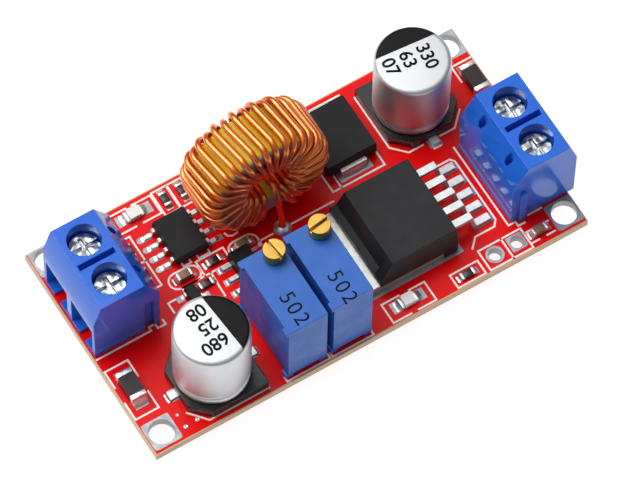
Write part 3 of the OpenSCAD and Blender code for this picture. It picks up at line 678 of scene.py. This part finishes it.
def shapesOnPoints(name, shape, rows, material):
    # rows hold a point, a turn in degrees and a size along X, Y and Z, all in millimetres
    mesh = bpy.data.meshes.new(name + "Points")
    mesh.from_pydata([place(*row[0]) for row in rows], [], [])
    turns = mesh.attributes.new("turn", "FLOAT", "POINT")
    sizes = mesh.attributes.new("size", "FLOAT_VECTOR", "POINT")
    for i, (point, turn, size) in enumerate(rows):
        turns.data[i].value = math.radians(turn)
        sizes.data[i].vector = size
    result = throughTree(mesh, onEachPoint, onEachPointKeys, {
        "Shape": shape, "Scale": mm, "Finish": material})
    result.name = name
    return addPiece(name, result, None)


twoEnded = {
    # parts are given by middle and turn, and their solder by the part's half length,
    # then the solder's own reach, width and height
    "resistors": [((-10.15, 11.2), 90), ((-8.2, 11.2), 90), ((-9.5, 2.6), 0), ((11.8, -12.0), 0),
                  ((-16.3, 7.9), 90), ((-16.3, 4.75), 90), ((-11.5, 0.75), 0)],
    "resistorSolder": (0.8, 0.42, 0.82, 0.36),
    "smallCapacitors": [((-12.95, 2.6), 0), ((-6.0, 2.6), 0), ((20.7, -11.55), 0)],
    "smallCapacitorSolder": (0.85, 0.42, 0.86, 0.6),
    "largeCapacitors": [((-24.0, -5.45), 90), ((24.2, 6.55), 90)],
    "largeCapacitorSolder": (1.7, 0.6, 1.7, 0.9),
    "lamps": [((-13.75, 11.4), 0), ((5.05, -11.4), 0)],
    "lampSolder": (1.0, 0.75, 1.2, 0.36),
}
chipSolder = {
    # chip, then x and turn at each end of its leads, then the solder's reach, width and height
    "rows": [("amplifier", [(-14.08, 180), (-8.12, 0)], (0.75, 0.6, 0.24)),
             ("converter", [(17.12, 0)], (0.35, 0.95, 0.4)),
             ("regulator", [(-9.28, 180)], (0.5, 0.6, 0.35))],
    # the diode's two ends, then the leads of the input and of the output capacitor
    "single": [((8.2, 4.12, 0), 270, (0.55, 3.0, 0.6)), ((8.2, 11.78, 0), 90, (0.55, 3.0, 0.6)),
               ((17.0, 2.35, 0), 270, (0.4, 1.1, 0.3)), ((17.0, 12.45, 0), 90, (0.1, 1.1, 0.3)),
               ((-21.25, -8.2, 0), 180, (0.35, 1.1, 0.3)), ((-11.15, -8.2, 0), 0, (0.35, 1.1, 0.3))],
}


def makePartSolder():
    rows = []
    for kind in ("resistor", "smallCapacitor", "largeCapacitor", "lamp"):
        half, reach, width, height = twoEnded[kind + "Solder"]
        for (x, y), turn in twoEnded[kind + "s"]:
            for side in (0, 180):
                a = math.radians(turn + side)
                rows.append(((x + half * math.cos(a), y + half * math.sin(a), 0), turn + side,
                             (reach, width, height)))
    for chip, ends, size in chipSolder["rows"]:
        for y in leadRows[chip]:
            rows += [((x, y, 0), turn, size) for x, turn in ends]
    rows += chipSolder["single"]
    ramp = unitRamp("solderRamp", finish["solder"])
    shapesOnPoints("partSolder", ramp, rows, finish["solder"])
    bpy.data.objects.remove(ramp)


vias = {
    "steps": 12, "height": 0.25,
    # height and radius of each ring of an eyelet one in radius
    "profile": [(0.0, 1.0), (0.22, 0.95), (0.3, 0.7), (0.12, 0.35)],
    # x, y and radius of each
    "places": [(-21.5, -10.3, 0.17), (-21.4, -11.85, 0.24), (-20.0, -11.75, 0.24)],
}


def makeVias():
    v = vias
    bm = bmesh.new()
    rings = [[bm.verts.new((radius * math.cos(a), radius * math.sin(a), height))
              for a in anglesRound(v["steps"])] for height, radius in v["profile"]]
    bm.faces.new(rings[0][::-1])
    for one, two in zip(rings, rings[1:]):
        for k in range(v["steps"]):
            m = (k + 1) % v["steps"]
            bm.faces.new((one[k], one[m], two[m], two[k]))
    bm.faces.new(rings[-1])
    eyelet = newObject("eyelet", meshFrom(bm, "eyelet"))
    rows = [((x, y, 0), 0, (r, r, v["height"])) for x, y, r in v["places"]]
    shapesOnPoints("viaEyelets", eyelet, rows, finish["solder"])
    bpy.data.objects.remove(eyelet)


makePartSolder()
makeVias()
for joints in ("inductor_joints", "terminal_joints", "trimmer_joints"):
    dress(joints, finish["solder"])
print("solder made")


# how far moulding, stamping and turning round each kind of edge
softEdges = {"housing": 0.06, "screw": 0.07, "trimmer": 0.05, "adjuster": 0.05, "base": 0.08,
             "smallBody": 0.03, "smallEnd": 0.05}
for side in ("output", "input"):
    softened(f"{side}_terminal_housing", f"{side}Housing", finish["moulding"],
             softEdges["housing"])
for side in ("output", "input"):
    dress(side + "_contacts", finish["tinnedLead"])
    for pole in (1, 2):
        screw = f"{side}_screw_{pole}"
        softened(screw, f"{side}Screw{pole}", finish["platedSteel"],
                 softEdges["screw"], screw)
        dress(f"{side}_clamp_{pole}", finish["clampSteel"])
print("terminal blocks made")


for kind in ("current", "voltage"):
    softened(kind + "_trimmer_body", kind + "Trimmer", finish["trimmerMoulding"],
             softEdges["trimmer"])
    softened(kind + "_adjuster", kind + "Adjuster", finish["brass"],
             softEdges["adjuster"], kind + "_adjuster")
    dress(kind + "_trimmer_pins", finish["tinnedLead"])


def numerals(text, height, thick, name, lineStep, stroke, letterStep=1.0):
    # numbers as a flat mesh, which start at the origin and read along +X, line under line
    curve = bpy.data.curves.new(name, "FONT")
    curve.body = text
    curve.size = height * mm
    curve.space_line = lineStep
    curve.space_character = letterStep
    curve.align_x = "LEFT"
    curve.align_y = "TOP"
    curve.extrude = thick * mm / 2
    curve.offset = stroke * mm
    return applied(newObject(name, curve))


trimmerMarks = {
    "digits": "502", "height": 2.3, "thick": 0.02, "stroke": -0.01, "lines": 1.0, "spacing": 1.2,
    # from the body's middle: the digits' heads along X, and the number's start along Y
    "heads": 0.95, "start": {"current": -0.6, "voltage": -1.1},
}


def markTrimmers():
    # the number reads towards -Y, with the digits' heads towards +X
    v = trimmerMarks
    for kind in ("current", "voltage"):
        low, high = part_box(kind + "_trimmer_body")
        middle = ((low + high) / 2 - boardMiddle) / mm
        top = (high.z - boardTop) / mm
        mesh = numerals(v["digits"], v["height"], v["thick"], kind + "Number", v["lines"],
                        v["stroke"], v["spacing"])
        corner = place(middle.x + v["heads"], middle.y + v["start"][kind], top + v["thick"] / 2)
        mesh.transform(Matrix.Translation(corner) @ Matrix.Rotation(math.radians(-90), 4, "Z"))
        addPiece(kind + "TrimmerMark", mesh, finish["markInk"])


markTrimmers()
print("trimmers made")


can = {
    "radius": 4.0, "foot": 1.25, "footRound": 0.35, "top": 10.3, "round": 0.55, "steps": 96,
    # the crimp is a rolled groove: its height, depth and half width, and the steps in each half
    "crimp": 2.4, "crimpDeep": 0.22, "crimpHalf": 0.442, "crimpSteps": 6,
    "footSteps": 4, "rimSteps": 8,
}


def quarter(r, z, radius, start, steps):
    # a quarter circle in the can's section, from start in degrees
    angles = [math.radians(start + 90 / steps * k) for k in range(steps + 1)]
    return [(r + radius * math.cos(a), z + radius * math.sin(a)) for a in angles]


def canProfile():
    v = can
    points = [(0.0, v["foot"])]
    points += quarter(v["radius"] - v["footRound"], v["foot"] + v["footRound"], v["footRound"],
                      -90, v["footSteps"])
    for k in range(-v["crimpSteps"], v["crimpSteps"] + 1):
        t = k / v["crimpSteps"]
        deep = v["crimpDeep"] * 0.5 * (1 + math.cos(math.pi * t))
        points.append((v["radius"] - deep, v["crimp"] + t * v["crimpHalf"]))
    points += quarter(v["radius"] - v["round"], v["top"] - v["round"], v["round"], 0, v["rimSteps"])
    points.append((0.0, v["top"]))
    return points


def makeCan(name, node, middle, material):
    bm = bmesh.new()
    rings = []
    steps = can["steps"]
    for r, z in canProfile():
        if r == 0:
            rings.append([bm.verts.new(place(*middle, z))])
        else:
            rings.append([bm.verts.new(place(middle[0] + r * math.cos(a),
                                             middle[1] + r * math.sin(a), z))
                          for a in anglesRound(steps)])
    for one, two in zip(rings, rings[1:]):
        for k in range(steps):
            m = (k + 1) % steps
            if len(one) == 1:
                bm.faces.new((one[0], two[m], two[k]))
            elif len(two) == 1:
                bm.faces.new((one[k], one[m], two[0]))
            else:
                bm.faces.new((one[k], one[m], two[m], two[k]))
    addPiece(name, meshFrom(bm, name), material, "base", (node,))


capacitorMarks = {
    "thick": 0.02, "height": 2.0, "lines": 0.98, "stroke": 0.035, "indent": 0.45,
    # the black field's colour and how far it goes down the rim, and the side's share of roughness
    "field": "#08080A", "rimDeep": 0.12, "sideGloss": 0.85,
    # middle of the can, side of the black field (degrees), distance of its edge, numbers, first line
    "output": ((-16.2, -8.2), 5.0, 1.3, "680\n25\n08", -2.5),
    "input": ((17.0, 7.4), 85.0, 1.65, "330\n63\n07", -2.45),
}


def paintField(side):
    # the black field on a can's lid: everything beyond a straight edge, out to the lid's rim
    v = capacitorMarks
    middle, facing, edge, numbers, first = v[side]
    material = finish[side + "Can"]
    tree = material.node_tree
    where = addNode(tree, "ShaderNodeTexCoord").outputs["Object"]
    offset = addNode(tree, "ShaderNodeVectorMath", {"operation": "SUBTRACT"}, {
        0: where, 1: place(*middle, can["top"])})
    a = math.radians(facing)
    reach = addNode(tree, "ShaderNodeVectorMath", {"operation": "DOT_PRODUCT"}, {
        0: offset.outputs[0], 1: (math.cos(a), math.sin(a), 0)})
    beyond = maths(tree, "GREATER_THAN", reach.outputs["Value"], edge * mm)
    height = addNode(tree, "ShaderNodeSeparateXYZ", inputs={0: offset.outputs[0]})
    onLid = maths(tree, "GREATER_THAN", height.outputs["Z"], -v["rimDeep"] * mm)
    mask = maths(tree, "MULTIPLY", beyond, onLid)
    recolour(material, mask, v["field"])
    metal = maths(tree, "SUBTRACT", 1.0, mask)
    shader = tree.nodes["Principled BSDF"]
    tree.links.new(metal, shader.inputs["Metallic"])
    # the drawn side is smoother than the printed lid
    smoother = addNode(tree, "ShaderNodeMapRange", inputs={
        "Value": onLid, "To Min": v["sideGloss"], "To Max": 1.0})
    before = shader.inputs["Roughness"].links[0].from_socket
    rough = maths(tree, "MULTIPLY", before, smoother.outputs["Result"])
    tree.links.new(rough, shader.inputs["Roughness"])


def markCapacitor(side):
    v = capacitorMarks
    middle, facing, edge, numbers, first = v[side]
    spin = Matrix.Rotation(math.radians(facing), 4, "Z")
    mesh = numerals(numbers, v["height"], v["thick"], side + "Number", v["lines"], v["stroke"])
    start = spin @ Vector((edge - v["indent"], first, 0))
    mesh.transform(Matrix.Translation(place(middle[0] + start.x, middle[1] + start.y,
                                            can["top"] + v["thick"] / 2))
                   @ Matrix.Rotation(math.radians(facing + 180), 4, "Z"))
    addPiece(side + "CanNumbers", mesh, finish["markInk"])


for side in ("output", "input"):
    finish[side + "Can"] = surface(side + "CanAluminium", looks["canAluminium"])
    paintField(side)
    makeCan(side + "Can", side + "_capacitor_can", capacitorMarks[side][0], finish[side + "Can"])
    markCapacitor(side)
    softened(side + "_capacitor_base", side + "CapacitorBase", finish["phenolic"],
             softEdges["base"])
    dress(side + "_capacitor_leads", finish["tinnedLead"])
print("capacitors made")


coil = {
    "middle": (-2.1, 6.85), "height": 7.3, "coreRadius": 6.35, "coreHole": 3.85, "coreThick": 5.3,
    "wire": 0.36, "turns": 34, "pitch": 9.85, "firstAngle": 269.0, "skew": 5.0,
    "holeBend": 0.8, "outerBend": 1.4, "bendSteps": 8, "sides": 14, "pathStep": 0.9,
    # room between wire and core outside, in the hole, on the faces, and between two layers;
    # every second turn stands further out on the faces
    "outerGap": 0.35, "holeGap": 0.05, "faceGap": 0.1, "layerGap": 0.02, "stagger": 0.2,
    "frontPad": (-1.5, 2.3), "backPad": (-0.6, 11.4),
    "front": [(-1.5, 2.3, 0.8), (-1.45, 2.9, 2.2), (-1.45, 3.45, 5.0),
              (-1.5, 4.3, 6.1), (-1.7, 6.5, 5.6), (-1.75, 8.0, 4.75)],
    "back": [(-0.68, 9.2, 4.16), (-0.65, 10.3, 3.9), (-0.62, 11.1, 2.9), (-0.6, 11.4, 1.6)],
}


def turnPath(k):
    # one turn of the wire: through the hole, then over the back, the outside and the front
    v = coil
    wire = v["wire"]
    over = v["coreRadius"] + wire + v["outerGap"]
    holeOuter = v["coreHole"] - wire - v["holeGap"]
    layer = 2 * wire + v["layerGap"]
    face = v["coreThick"] / 2 + wire + v["faceGap"] + v["stagger"] * (k % 2)
    faceSkew = (v["pitch"] - v["skew"]) / 3
    a = v["firstAngle"] - k * v["pitch"]
    corners = [
        (holeOuter - (k % 2) * layer, face, -1, 1, 180, a - faceSkew, v["holeBend"]),
        (over, face, 1, 1, 90, a - 2 * faceSkew, v["outerBend"]),
        (over, -face, 1, -1, 0, a - 2 * faceSkew - v["skew"], v["outerBend"]),
        (holeOuter - ((k + 1) % 2) * layer, -face, -1, -1, -90, a - v["pitch"], v["holeBend"]),
    ]
    points = []
    for r, y, sr, sy, start, angle, bend in corners:
        for i in range(v["bendSteps"] + 1):
            t = math.radians(start - 90 * i / v["bendSteps"])
            out = r + bend * (math.cos(t) - sr)
            along = y + bend * (math.sin(t) - sy)
            turn = math.radians(angle)
            points.append((v["middle"][0] + out * math.cos(turn), v["middle"][1] + along,
                           v["height"] + out * math.sin(turn)))
    return points


def wireTree():
    # draws a round wire along a chain of points
    tree, keys, given = newTree("wireAlongPath", {
        "Path": "Geometry", "Wire Radius": "Float", "Sides": "Int", "Finish": "Material"})
    line = addNode(tree, "GeometryNodeMeshToCurve", inputs={"Mesh": given.outputs["Path"]})
    ring = addNode(tree, "GeometryNodeCurvePrimitiveCircle", inputs={
        "Resolution": given.outputs["Sides"], "Radius": given.outputs["Wire Radius"]})
    tube = addNode(tree, "GeometryNodeCurveToMesh", inputs={
        "Curve": line.outputs[0], "Profile Curve": ring.outputs[0], "Fill Caps": True})
    smooth = addNode(tree, "GeometryNodeSetShadeSmooth", inputs={"Geometry": tube.outputs[0]})
    paintAndEnd(tree, given, smooth.outputs[0])
    return tree, keys


def makeWinding():
    v = coil
    foot = (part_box("inductor_winding")[0].z - boardTop) / mm
    path = [(*v["frontPad"], foot)] + v["front"]
    for k in range(v["turns"]):
        path += turnPath(k)
    path += v["back"] + [(*v["backPad"], foot)]
    # the straight stretches get points of their own, so that the tube shades evenly
    fine = [Vector(path[0])]
    for p in path[1:]:
        step = Vector(p) - fine[-1]
        parts = max(1, int(step.length / v["pathStep"]))
        start = fine[-1].copy()
        fine += [start + step * (i + 1) / parts for i in range(parts)]
    mesh = bpy.data.meshes.new("wirePath")
    mesh.from_pydata([place(*p) for p in fine], [(i, i + 1) for i in range(len(fine) - 1)], [])
    tree, keys = wireTree()
    winding = throughTree(mesh, tree, keys, {
        "Wire Radius": v["wire"] * mm, "Sides": v["sides"], "Finish": finish["enamelledCopper"]})
    winding.name = "copperWinding"
    addPiece("copperWinding", winding, None, "base", ("inductor_winding",))


makeWinding()
dress("inductor_core", finish["coreCoat"])
print("inductor made")


chips = [
    # node, name, look, material slot, rounding of the edges
    ("converter_body", "converterBody", "chipEpoxy", "moulding", 0.07),
    ("converter_tab", "converterTab", "tinnedLead", "tinned_metal", 0.05),
    ("converter_leads", "converterLeads", "tinnedLead", "tinned_metal", 0.04),
    ("diode_body", "diodeBody", "blackEpoxy", "moulding", 0.06),
    ("amplifier_body", "amplifierBody", "blackEpoxy", "moulding", 0.04),
    ("regulator_body", "regulatorBody", "blackEpoxy", "moulding", 0.04),
    ("transistor_body", "transistorBody", "blackEpoxy", "moulding", 0.03),
]
for node, name, look, slotName, edge in chips:
    softened(node, name, finish[look], edge)
for leads in ("amplifier_leads", "regulator_leads", "transistor_leads", "diode_terminals"):
    dress(leads, finish["tinnedLead"])
smallParts = [("lamp", "lampBody", "lamp_ceramic"), ("resistor", "resistorGlaze", "moulding"),
              ("small_capacitor", "tanCeramic", "small_ceramic"),
              ("large_capacitor", "darkCeramic", "large_ceramic")]
for kind, material, slotName in smallParts:
    words = kind.split("_")
    label = words[0] + "".join(w.title() for w in words[1:])
    softened(kind + "_bodies", label + "Bodies", finish[material], softEdges["smallBody"])
    softened(kind + "_ends", label + "Ends", finish["solder"], softEdges["smallEnd"])
print("chips and small parts made")


studio = {
    "azimuth": -32.505, "elevation": 63.008, "roll": 1.264, "distance": 0.6, "nearest": 0.01,
    "sensor": 36, "lens": 331.4, "shift": (0.0205, -0.00225),
    # the tent's strength near the horizon and overhead, and the heights between which it grows
    "horizon": 0.1, "zenith": 0.4, "skyLow": 0.1, "skyHigh": 0.95, "white": "#FFFFFF",
    "keyPlace": (-0.5, 0.7, 1.45), "keySize": (1.4, 1.4), "keyPower": 30.0,
    "fillPlace": (0.42, 0.66, 1.53), "fillSize": (1.2, 1.2), "fillPower": 2.4,
    "floor": 3.0, "floorColour": "#808080", "floorGlow": 0.92, "floorRoughness": 0.9,
}


def makeFloor():
    mesh = bpy.data.meshes.new("floor")
    half = studio["floor"] / 2
    z = cadBox[0][2]
    corners = [(-half, -half, z), (half, -half, z), (half, half, z), (-half, half, z)]
    mesh.from_pydata(corners, [], [(0, 1, 2, 3)])
    floor = newObject("floor", mesh)
    material = bpy.data.materials.new("studioPaper")
    material.use_nodes = True
    shader = material.node_tree.nodes["Principled BSDF"]
    shader.inputs["Base Color"].default_value = toLinear(studio["floorColour"])
    shader.inputs["Roughness"].default_value = studio["floorRoughness"]
    shader.inputs["Emission Color"].default_value = toLinear(studio["white"])
    shader.inputs["Emission Strength"].default_value = studio["floorGlow"]
    mesh.materials.append(material)


def areaLight(name, position, size, power):
    data = bpy.data.lights.new(name, "AREA")
    data.shape = "RECTANGLE"
    data.size, data.size_y = size
    data.energy = power
    lamp = newObject(name, data)
    lamp.location = position
    lamp.rotation_euler = Vector(position).to_track_quat("Z", "Y").to_euler()


def makeCamera():
    v = studio
    a, e, r = (math.radians(v[k]) for k in ("azimuth", "elevation", "roll"))
    back = Vector((math.sin(a) * math.cos(e), -math.cos(a) * math.cos(e), math.sin(e)))
    right = Vector((0, 0, 1)).cross(back).normalized()
    up = back.cross(right)
    rolledRight = math.cos(r) * right + math.sin(r) * up
    rolledUp = -math.sin(r) * right + math.cos(r) * up
    data = bpy.data.cameras.new("camera")
    data.sensor_width = v["sensor"]
    data.lens = v["lens"]
    data.shift_x, data.shift_y = v["shift"]
    data.clip_start = v["nearest"]
    camera = newObject("camera", data)
    turned = Matrix((rolledRight, rolledUp, back)).transposed().to_4x4()
    camera.matrix_world = Matrix.Translation(place(0, 0) + back * v["distance"]) @ turned
    bpy.context.scene.camera = camera


def makeLight():
    # a soft tent, bright overhead and dim near the horizon, with a large lamp behind
    # on the left and a weak one on the right, which the level metal faces mirror
    v = studio
    world = bpy.data.worlds.new("studio")
    world.use_nodes = True
    tree = world.node_tree
    direction = addNode(tree, "ShaderNodeTexCoord").outputs["Generated"]
    height = addNode(tree, "ShaderNodeSeparateXYZ", inputs={0: direction})
    bright = addNode(tree, "ShaderNodeMapRange", {"interpolation_type": "SMOOTHSTEP"}, {
        "Value": height.outputs["Z"], "From Min": v["skyLow"], "From Max": v["skyHigh"],
        "To Min": v["horizon"], "To Max": v["zenith"]})
    background = tree.nodes["Background"]
    background.inputs["Color"].default_value = toLinear(v["white"])
    tree.links.new(bright.outputs["Result"], background.inputs["Strength"])
    bpy.context.scene.world = world
    areaLight("keyLight", v["keyPlace"], v["keySize"], v["keyPower"])
    areaLight("fillLight", v["fillPlace"], v["fillSize"], v["fillPower"])


makeFloor()
makeLight()
makeCamera()
scene = bpy.context.scene
scene.view_settings.view_transform = "Standard"
scene.view_settings.look = "None"
print("studio made")
